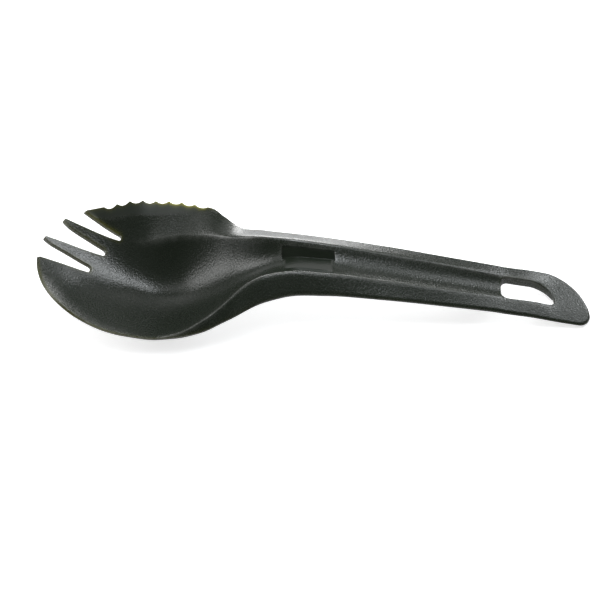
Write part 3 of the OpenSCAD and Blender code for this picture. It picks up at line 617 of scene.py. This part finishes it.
def plan_points(m, border, slot, cuts):
    """Points inside the plan: rows along the part, with columns on the ridges, edges and the plate."""
    s, step = m.s, m.s.mesh_step
    rows = [np.linspace(a, b, math.ceil((b - a) / step), endpoint=False) for a, b in (
        (m.tip_x, m.neck_x), (m.neck_x, m.plate_x - s.plate_border),
        (m.plate_x + 2 * s.plate_border, m.plate_end_x - 2 * s.plate_border),
        (m.plate_end_x + s.plate_border, m.loop_x), (m.loop_x, m.end_x))]
    for x in (m.plate_x, m.plate_end_x - s.plate_border):
        rows.append(x + s.plate_border * np.array([-0.5, *BORDER_ROWS]))
    found = []
    for x in np.concatenate(rows):
        near_edge, near = float(m.near_edge_side(x)), float(m.near_ridge_side(x))
        far = float(m.far_ridge_side(x))
        far_edge = max(float(m.far_edge_side(min(x, m.end_slant_x))), far)
        stops = [near_edge, near - s.ridge_softness, near, near + s.ridge_softness,
                 far - s.crease_softness, far, far + s.crease_softness, far_edge]
        if m.plate_x - s.plate_border < x < m.plate_end_x + s.plate_border:
            plate = PLATE_SIDE_SHARE * far
            stops += [plate - share * s.plate_border for share in (-0.5, *BORDER_ROWS)]
            stops += [PLATE_CREASE_SHARE * s.ridge_reach + share * s.plate_border for share in CREASE_ROWS]
        if m.tips[3][0] < x < m.neck_x:
            bevel = s.blade_reach - s.bevel_width
            stops += [bevel - 0.3 * step, bevel, bevel + 0.3 * step]
        stops = sorted(y for y in stops if near_edge <= y <= far_edge)
        for a, b in zip(stops, stops[1:]):
            if b - a > 1e-6:
                count = max(1, math.ceil((b - a) / step))
                found += [(x, y) for y in np.linspace(a, b, count, endpoint=False)]
    found = np.array(found)
    a = np.concatenate([border, slot])
    b = np.concatenate([following(border), following(slot)])
    keep = inside(found, border) & ~inside(found, slot) & (distance(found, a, b) > m.edge(found[:, 0]) + 0.3 * step)
    found = found[keep]
    starts = np.concatenate([line[:-1] for line in cuts])
    ends = np.concatenate([line[1:] for line in cuts])
    found = found[distance(found, starts, ends) > 0.3 * step]
    # Rows that follow the edges, where they are rounded
    rings = []
    for loop, radius, hole in ((border, m.edge(border[:, 0]), False), (slot, np.full(len(slot), s.slot_edge), True)):
        ahead = following(loop) - np.roll(loop, 1, axis=0)
        normal = pairs(-ahead[:, 1], ahead[:, 0]) / np.maximum(np.hypot(*ahead.T), 1e-12)[:, None]
        area = (loop[:, 0] * np.roll(loop[:, 1], -1) - np.roll(loop[:, 0], -1) * loop[:, 1]).sum()
        inward = normal if (area > 0) != hole else -normal
        for share in EDGE_ROWS:
            ring = loop + (share * radius)[:, None] * inward
            rings.append(ring[distance(ring, a, b) > 0.9 * share * radius])
    rings = np.concatenate(rings)
    rings = rings[inside(rings, border) & ~inside(rings, slot)]
    rings = rings[distance(rings, starts, ends) > 0.12 * step]
    return np.concatenate([rings, found]), a, b


def region_of(m, p):
    """Number of the named region that each plan point lies in."""
    x, y = p[:, 0], p[:, 1]
    line = m.root_aim - m.root_start
    ahead = line[0] * (y - m.root_start[1]) - line[1] * (x - m.root_start[0]) > 0
    split = mix(m.blade_front[1], m.blade_root[1], (x - m.blade_front[0]) / (m.blade_root[0] - m.blade_front[0]))
    found = np.where(y > split, 4, 0)
    tine = np.zeros(len(p), int)
    for k in range(3):
        axis, root = m.gap_axis(k), m.roots[k]
        tine += axis[0] * (y - root[1]) - axis[1] * (x - root[0]) < 0
    found = np.where(ahead & (x < m.blade_front[0] + 6 * MM), np.array([1, 2, 3, 4])[tine], found)
    for start, number in ((m.neck_x, 5), (m.grip_x, 6), (m.loop_x, 7)):
        found = np.where(x > start, number, found)
    return found


def moulding_shape():
    """Mesh of the whole moulding, worked out once: both faces, their normals and each region's triangles."""
    sizes = bpy.context.scene.spork_sizes
    key = tuple(getattr(sizes, name) for name in SporkSizes.__annotations__)
    if key in SHAPES:
        return SHAPES[key]
    m = Moulding(sizes)
    s = m.s
    border, slot = m.outline(), m.hang_slot()
    cuts = []
    for a, b in m.cuts():
        long = math.dist(a, b)
        graded = m.edge((a[0] + b[0]) / 2) * np.array([0, *EDGE_ROWS])
        at = np.concatenate([graded, np.linspace(graded[-1], long - graded[-1],
                                                 math.ceil(long / (0.8 * s.mesh_step)))[1:-1], long - graded[::-1]])
        cuts.append(a + (b - a) * (at / long)[:, None])
    points, starts, ends = plan_points(m, border, slot, cuts)
    places, links = [], []
    for loop, closed in [(border, True), (slot, True)] + [(line, False) for line in cuts]:
        first = len(places)
        places += [tuple(p) for p in loop]
        links += [(first + i, first + i + 1) for i in range(len(loop) - 1)]
        if closed:
            links.append((first + len(loop) - 1, first))
    places += [tuple(p) for p in points]
    found = delaunay_2d_cdt([Vector((x / MM, y / MM)) for x, y in places], links, [], 0, 1e-4, False)
    plan = np.array([tuple(v) for v in found[0]]) * MM
    triangles = np.array([tuple(f) for f in found[2]])
    a, b, c = (plan[triangles[:, k]] for k in range(3))
    flat = (b[:, 0] - a[:, 0]) * (c[:, 1] - a[:, 1]) - (b[:, 1] - a[:, 1]) * (c[:, 0] - a[:, 0])
    triangles[flat < 0] = triangles[flat < 0][:, ::-1]
    middle = (a + b + c) / 3
    keep = inside(middle, border) & ~inside(middle, slot) & (abs(flat) > 1e-14)
    triangles, middle = triangles[keep], middle[keep]
    region = region_of(m, middle)
    x, y = plan[:, 0], plan[:, 1]
    depth, slot_depth = distance(plan, starts, ends), distance(plan, slot, following(slot))
    depth[depth < 1e-6] = 0
    bevel = m.bevel_share(x, y)
    dip, thick = m.dip(x, y), m.thickness(x)
    by_slot = slot_depth <= depth + 1e-6
    outer = m.edge(x) * mix(1, FAR_EDGE_SHARE, smooth(y / (4 * MM) + 0.5) * (x > m.neck_x))
    radius = np.minimum(np.where(by_slot, s.slot_edge, outer), 0.42 * (thick - dip))
    radius_below = np.minimum(np.where(by_slot, s.slot_edge, m.edge_below(x, y)), 0.8 * (thick - dip) - radius)
    rolled = lambda r: r - np.sqrt(np.maximum(r ** 2 - np.maximum(r - depth, 0) ** 2, 0))
    upper = np.stack([x, y + s.axis_side, m.upper(x, y) - rolled(radius)], axis=1)
    under = x - m.lean_out(x)
    slot_middle = (m.near_ridge_side(x) + m.far_ridge_side(x)) / 2 - s.slot_offset
    below = y - s.slot_draft * smooth(1 - slot_depth / (2 * MM)) * smooth((y - slot_middle) / (1.5 * MM) + 0.5)
    border_depth = distance(plan, border, following(border))
    below += m.overhang(x) * smooth(1 - border_depth / (3 * MM)) * smooth((m.near_ridge_side(x) - y) / (2 * MM))
    lower = np.stack([under, below + s.axis_side, m.lower(under, below) + rolled(radius_below)], axis=1)
    count = len(plan)
    owner = {}
    for t, tri in enumerate(triangles):
        for u, v in ((tri[0], tri[1]), (tri[1], tri[2]), (tri[2], tri[0])):
            owner[int(u), int(v)] = t
    walls = [(u, v, t) for (u, v), t in owner.items() if (v, u) not in owner]
    seams = [(u, v, t) for (u, v), t in owner.items() if (v, u) in owner and region[owner[v, u]] != region[t]]
    verts = np.concatenate([upper, lower])
    normals = np.zeros_like(verts)
    side = np.array([(u, v) for u, v, _ in walls])
    faces = np.concatenate([
        triangles, triangles[:, ::-1] + count,
        np.stack([side[:, 1], side[:, 0], side[:, 0] + count], axis=1),
        np.stack([side[:, 1], side[:, 0] + count, side[:, 1] + count], axis=1)])
    for k in range(3):
        here, right, left = (verts[faces[:, (k + j) % 3]] for j in range(3))
        p, q = right - here, left - here
        cross = np.cross(p, q)
        size = np.maximum(np.linalg.norm(cross, axis=1), 1e-18)
        angle = np.arctan2(size, (p * q).sum(axis=1))
        np.add.at(normals, faces[:, k], cross / size[:, None] * angle[:, None])
    normals /= np.maximum(np.linalg.norm(normals, axis=1), 1e-12)[:, None]
    # Away from the edges the faces' own slopes give the normals
    small = 0.02 * MM
    for first, sign, at, height, plain in ((0, 1, x, m.upper, depth > 1.01 * radius),
                                           (count, -1, under, m.lower, depth > 1.01 * radius_below)):
        across = [(height(at + a, y + b) - height(at - a, y - b)) / (2 * small) for a, b in ((small, 0), (0, small))]
        slope = sign * np.stack([-across[0], -across[1], np.ones(count)], axis=1)
        slope /= np.linalg.norm(slope, axis=1)[:, None]
        normals[first:first + count][plain] = slope[plain]
    near, far = m.near_ridge_side(x), m.far_ridge_side(x)
    # Lighter lines along the ridges: painted highlight, with some rubbed wear
    highlit_lines = np.maximum(np.where(x > m.rim_x, np.exp(-((y - near) / RIDGE_SHEEN_AND_RUB) ** 2), 0),
                          np.exp(-((y - far) / RIDGE_SHEEN_AND_RUB) ** 2) * smooth((x + 60 * MM) / (12 * MM)))
    # Painted olive glow of light through thin edges: the serrated side and its tine most, then the front of the rim
    axis, root = m.gap_axis(2), m.roots[2]
    beyond = np.where(x < root[0], axis[0] * (y - root[1]) - axis[1] * (x - root[0]) < 0, y > far + 1 * MM)
    bright = np.exp(-((x - m.serration_end_x + 1.7 * s.tooth_pitch) / (2.3 * s.tooth_pitch)) ** 2)
    serrated = beyond * mix(BLADE_GLOW, 1, bright) * smooth((m.neck_x - x) / (0.15 * s.bowl_length))
    front = (y < s.tip_offset + s.tip_width) * smooth((m.root_start[0] - x) / (0.12 * s.bowl_length))
    glow = np.maximum(BOWL_GLOW * smooth((m.neck_x - x) / (0.2 * s.bowl_length)) + EDGE_GLOW,
                      np.maximum(serrated, FRONT_GLOW * front))
    edge = np.exp(-depth / THIN_DEPTH)
    # Painted highlights along the plate's border and the bevel's start, as lighter lines like those on the ridges
    inset = np.minimum(np.minimum(x - m.plate_x, m.plate_end_x - x), PLATE_SIDE_SHARE * far - y)
    border_highlight = np.exp(-(inset / BORDER_HIGHLIGHT_WIDTH) ** 2) * (y > PLATE_CREASE_SHARE * s.ridge_reach)
    bevel_highlight = 0.6 * smooth((m.bow_x - x) / (14 * MM)) * np.exp(
        -((y - s.blade_reach + s.bevel_width) / BEVEL_HIGHLIGHT_WIDTH) ** 2)
    highlit_lines = np.maximum(highlit_lines * smooth((m.slot_end_x - x) / (6 * MM)), np.maximum(border_highlight, bevel_highlight))
    SHAPES[key] = SimpleNamespace(
        verts=verts, normals=normals, count=count, triangles=triangles, region=region, walls=walls, seams=seams,
        marks={"edge": np.r_[edge, edge], "glow": np.r_[glow, np.minimum(glow, LOWER_GLOW)],
               "ridge": np.r_[highlit_lines, 0 * highlit_lines],
               "smooth": np.r_[np.maximum(m.plate_zone(x, y), np.minimum(1, 6 * bevel)), 0 * bevel],
               "thinned_glow": np.r_[np.minimum(1, 5 * bevel), 0 * bevel]})
    return SHAPES[key]


def moulded_piece(name, node):
    """Closed piece of the moulding for one region, shaded as if it were never cut."""
    shape, number = moulding_shape(), REGIONS.index(node)
    n = shape.count
    mine = shape.triangles[shape.region == number]
    faces = [tuple(t) for t in mine] + [tuple(t[::-1] + n) for t in mine]
    faces += [(v, u, u + n, v + n) for u, v, t in shape.walls if shape.region[t] == number]
    soft = len(faces)
    faces += [(v, u, u + n, v + n) for u, v, t in shape.seams if shape.region[t] == number]
    used = sorted({int(i) for face in faces for i in face})
    place = {old: new for new, old in enumerate(used)}
    mesh = bpy.data.meshes.new(name)
    mesh.from_pydata([tuple(shape.verts[i]) for i in used], [], [[place[int(i)] for i in face] for face in faces])
    mesh.update()
    mesh.polygons.foreach_set("use_smooth", [True] * len(faces))
    for mark, values in shape.marks.items():
        mesh.attributes.new(mark, "FLOAT", "POINT").data.foreach_set("value", values[used])
    normals = []
    for i, face in enumerate(faces):
        flat = tuple(mesh.polygons[i].normal) if i >= soft else None
        normals += [flat or tuple(shape.normals[int(j)]) for j in face]
    mesh.normals_split_custom_set(normals)
    if mesh.validate(verbose=False, clean_customdata=False):
        raise RuntimeError(name + " has broken faces")
    piece = bpy.data.objects.new(name, mesh)
    bpy.context.scene.collection.objects.link(piece)
    mesh.materials.append(moulded_plastic())
    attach(piece, "root")
    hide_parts(node)
    return piece


class Wire:
    """An output of a shader node; sums, differences and products of wires add Math nodes."""

    def __init__(self, tree, socket=None):
        self.tree, self.socket = tree, socket

    def node(self, kind, settings=None, sockets=None, out=0):
        """Adds a node of any kind: its settings first, then the values or links of its sockets."""
        made = self.tree.nodes.new(kind)
        for name, value in (settings or {}).items():
            setattr(made, name, value)
        for name, value in (sockets or {}).items():
            if isinstance(value, Wire):
                self.tree.links.new(value.socket, made.inputs[name])
            else:
                made.inputs[name].default_value = value
        return Wire(self.tree, made.outputs[out] if len(made.outputs) else None)

    def math(self, operation, *values):
        return self.node("ShaderNodeMath", {"operation": operation}, dict(enumerate(values)))

    def __add__(self, other):
        return self.math("ADD", self, other)

    def __sub__(self, other):
        return self.math("SUBTRACT", self, other)

    def __rsub__(self, other):
        return self.math("SUBTRACT", other, self)

    def __mul__(self, other):
        return self.math("MULTIPLY", self, other)

    __radd__, __rmul__ = __add__, __mul__

    def between(self, low, high):
        """Rises from 0 at low to 1 at high, smoothly."""
        return self.node("ShaderNodeMapRange", {"interpolation_type": "SMOOTHSTEP"},
                         {"Value": self, "From Min": low, "From Max": high})

    def tinted(self, a, b):
        """Colour that goes from a to b as this value goes from 0 to 1."""
        return self.node("ShaderNodeMix", {"data_type": "RGBA"}, {0: self, 6: a, 7: b}, out=2)


def rgba(colour):
    return (*colour, 1.0)


def moulded_plastic():
    """Dyed plastic with the mould's eroded grain, smooth on the bevel and the plate, with painted olive glow where
    light shows through thin edges and the bevel, painted highlights along ridges and borders, and painted glints on
    the grain.
    """
    material = bpy.data.materials.get("moulded_plastic")
    if material:
        return material
    finish = bpy.context.scene.spork_finish
    material = bpy.data.materials.new("moulded_plastic")
    material.use_nodes = True
    tree = material.node_tree
    tree.nodes.clear()
    wire = Wire(tree)
    place = wire.node("ShaderNodeTexCoord", out=3)
    noise = lambda size, detail, roughness: wire.node(
        "ShaderNodeTexNoise", None, {"Vector": place, "Scale": 1 / size, "Detail": detail, "Roughness": roughness})
    mark = lambda name: wire.node("ShaderNodeAttribute", {"attribute_name": name}, out=2)
    grain = noise(finish.grain_size, 2.0, 0.5)
    pits = wire.node("ShaderNodeTexVoronoi", {"feature": "F1"},
                     {"Vector": place, "Scale": 1 / (1.6 * finish.grain_size)})
    clouds = noise(CLOUD_SIZE, 3.0, 0.5)
    patches = noise(PATCH_SIZE, 2.0, 0.5)
    grained = 1 - mark("smooth") * 0.8
    edge, ridge = mark("edge"), mark("ridge")
    pale = clouds.between(0.35, 0.7) * 0.6 + patches.between(0.3, 0.75) * 0.4
    colour = pale.tinted(rgba(finish.plastic), rgba(finish.pale_plastic))
    # Painted highlight along the ridges, the plate's border and the bevel's start; on the ridges also rubbed wear
    rubbed_and_highlit = ridge * (0.4 + patches.between(0.35, 0.65) * 0.6) * 0.75
    colour = rubbed_and_highlit.tinted(colour, rgba(finish.rubbed_and_highlit))
    # Painted glow where light shows through the thin bevel
    colour = mark("thinned_glow").tinted(colour, rgba(finish.thinned_glow))
    # Pale specks on the grain: painted glints of light off its facets
    glint_specks = grain.between(0.55, 0.75) * grained
    colour = (glint_specks * 0.26).tinted(colour, rgba(finish.rubbed_and_highlit))
    # Painted olive glow, standing in for light that shows through thin edges
    thin = edge * mark("glow") * (0.45 + clouds.between(0.3, 0.6) * 0.55)
    colour = thin.tinted(colour, rgba(finish.thin_edge_glow))
    roughness = (finish.roughness + (clouds - 0.5) * 0.06 - (grain - 0.5) * 0.3 * grained - rubbed_and_highlit * 0.1
                 + mark("thinned_glow") * 0.16 - mark("smooth") * 0.08)
    height = (grain * 0.75 + pits * 0.25) * grained + patches * 0.2
    bump = wire.node("ShaderNodeBump", None, {"Strength": 1.0, "Distance": finish.grain_depth, "Height": height})
    shader = wire.node("ShaderNodeBsdfPrincipled", None, {
        "Base Color": colour, "Roughness": roughness, "Normal": bump, "IOR": 1.5})
    wire.node("ShaderNodeOutputMaterial", None, {"Surface": shader})
    return material


class SPORK_OT_bowl(bpy.types.Operator):
    """Moulds the spoon bowl"""
    bl_idname = "spork.bowl"
    bl_label = "Bowl"

    def execute(self, context):
        moulded_piece("bowl_moulding", "bowl")
        return {"FINISHED"}


class SPORK_OT_tines(bpy.types.Operator):
    """Moulds the rim's broad tine and the two inner tines"""
    bl_idname = "spork.tines"
    bl_label = "Tines"

    def execute(self, context):
        for node in ("lip_tine", "near_tine", "far_tine"):
            moulded_piece(node + "_moulding", node)
        return {"FINISHED"}


class SPORK_OT_blade(bpy.types.Operator):
    """Moulds the serrated side with its outer tine"""
    bl_idname = "spork.blade"
    bl_label = "Serrated side"

    def execute(self, context):
        moulded_piece("serrated_blade_moulding", "serrated_blade")
        return {"FINISHED"}


class SPORK_OT_neck(bpy.types.Operator):
    """Moulds the arched neck with its shallow plate"""
    bl_idname = "spork.neck"
    bl_label = "Neck"

    def execute(self, context):
        moulded_piece("neck_moulding", "neck")
        return {"FINISHED"}


class SPORK_OT_grip(bpy.types.Operator):
    """Moulds the ridged grip"""
    bl_idname = "spork.grip"
    bl_label = "Grip"

    def execute(self, context):
        moulded_piece("grip_moulding", "grip")
        return {"FINISHED"}


class SPORK_OT_hang_loop(bpy.types.Operator):
    """Moulds the handle's end with the hang slot"""
    bl_idname = "spork.hang_loop"
    bl_label = "Hang loop"

    def execute(self, context):
        moulded_piece("hang_loop_moulding", "hang_loop")
        return {"FINISHED"}


def softbox(name, place, aim, width, height, watts, colour):
    """Soft rectangular lamp at a place, turned to a point."""
    lamp = bpy.data.lights.new(name, "AREA")
    lamp.shape, lamp.size, lamp.size_y = "RECTANGLE", width, height
    lamp.energy, lamp.color = watts, colour
    holder = bpy.data.objects.new(name, lamp)
    holder.location = place
    holder.rotation_euler = (Vector(aim) - Vector(place)).to_track_quat("-Z", "Y").to_euler()
    bpy.context.scene.collection.objects.link(holder)


def pale_floor(stage):
    """White to the eye, and still darker where the part keeps the light off it."""
    material = bpy.data.materials.new("pale_floor")
    material.use_nodes = True
    tree = material.node_tree
    tree.nodes.clear()
    wire = Wire(tree)
    rays = lambda out: wire.node("ShaderNodeLightPath", out=out)
    seen = wire.math("MAXIMUM", rays(0) * FLOOR_SEEN, wire.math("MAXIMUM", rays(3), rays(6)) * FLOOR_REFLECTED)
    matt = wire.node("ShaderNodeBsdfDiffuse", None, {"Color": rgba(stage.floor_tint)})
    glow = wire.node("ShaderNodeEmission", None, {"Color": (1, 1, 1, 1), "Strength": 1.0})
    mixed = wire.node("ShaderNodeMixShader", None, {0: seen, 2: glow})
    both = wire.node("ShaderNodeAddShader", None, {0: matt, 1: mixed})
    wire.node("ShaderNodeOutputMaterial", None, {"Surface": both})
    return material


class SPORK_OT_stage(bpy.types.Operator):
    """Lays the pale floor, hangs the soft lamps and places the camera"""
    bl_idname = "spork.stage"
    bl_label = "Stage"

    def execute(self, context):
        scene, stage = context.scene, context.scene.spork_stage
        axis = scene.spork_sizes.axis_side
        mesh = bpy.data.meshes.new("pale_floor")
        corners = ((-1, -1), (1, -1), (1, 1), (-1, 1))
        mesh.from_pydata([(FLOOR_HALF * x, FLOOR_HALF * y, 0) for x, y in corners], [], [(0, 1, 2, 3)])
        mesh.materials.append(pale_floor(stage))
        floor = bpy.data.objects.new("pale_floor", mesh)
        scene.collection.objects.link(floor)

        world = bpy.data.worlds.new("pale_room")
        scene.world = world
        world.use_nodes = True
        world.node_tree.nodes.clear()
        wire = Wire(world.node_tree)
        seen = wire.node("ShaderNodeLightPath")
        room = wire.node("ShaderNodeBackground", None, {"Color": (1, 1, 1, 1), "Strength": stage.sky})
        white = wire.node("ShaderNodeBackground", None, {"Color": (1, 1, 1, 1), "Strength": 1.0})
        mixed = wire.node("ShaderNodeMixShader", None, {0: seen, 1: room, 2: white})
        wire.node("ShaderNodeOutputWorld", None, {"Surface": mixed})

        for name, place, (along, above), (width, height), watts, colour in LAMPS:
            softbox(name, place, (along, axis, above), width, height, watts, colour)

        e = stage.camera_height
        back = Vector((0, -math.cos(e), math.sin(e)))
        up = Vector((0, math.sin(e), math.cos(e)))
        camera = bpy.data.cameras.new("camera")
        camera.lens, camera.sensor_width, camera.sensor_fit = stage.lens, 36.0, "HORIZONTAL"
        camera.clip_start, camera.clip_end = 0.01, 20.0
        holder = bpy.data.objects.new("camera", camera)
        holder.location = Vector((0, axis, MIDDLE_RISE)) + stage.camera_distance * back
        look = (-back + Vector((1, 0, 0)) * LOOK_RIGHT + up * LOOK_UP).normalized()
        right = look.cross(up).normalized()
        holder.rotation_euler = Matrix((right, right.cross(look), -look)).transposed().to_euler()
        scene.collection.objects.link(holder)
        scene.camera = holder
        scene.view_settings.view_transform = "Standard"
        return {"FINISHED"}


class SPORK_PT_panel(bpy.types.Panel):
    """Sizes, finish and pieces of the spork"""
    bl_label = "Spork"
    bl_idname = "SPORK_PT_panel"
    bl_space_type = "VIEW_3D"
    bl_region_type = "UI"
    bl_category = "Spork"

    def draw(self, context):
        for key in GROUPS:
            group, box = getattr(context.scene, key), self.layout.box()
            box.label(text=key.split("_")[1].capitalize())
            for name in type(group).__annotations__:
                box.prop(group, name)
        for operator in OPERATORS:
            self.layout.operator(operator.bl_idname)


OPERATORS = (SPORK_OT_bowl, SPORK_OT_tines, SPORK_OT_blade, SPORK_OT_neck, SPORK_OT_grip, SPORK_OT_hang_loop,
             SPORK_OT_stage)
GROUPS = {"spork_sizes": SporkSizes, "spork_finish": SporkFinish, "spork_stage": SporkStage}
CLASSES = (*GROUPS.values(), *OPERATORS, SPORK_PT_panel)


def register():
    for cls in CLASSES:
        bpy.utils.register_class(cls)
    for key, group in GROUPS.items():
        setattr(bpy.types.Scene, key, PointerProperty(type=group))


def unregister():
    for key in reversed(GROUPS):
        delattr(bpy.types.Scene, key)
    for cls in reversed(CLASSES):
        bpy.utils.unregister_class(cls)


def main():
    register()
    bpy.ops.spork.stage()
    bpy.ops.spork.bowl()
    bpy.ops.spork.tines()
    bpy.ops.spork.blade()
    bpy.ops.spork.neck()
    bpy.ops.spork.grip()
    bpy.ops.spork.hang_loop()


if __name__ == "__main__":
    main()
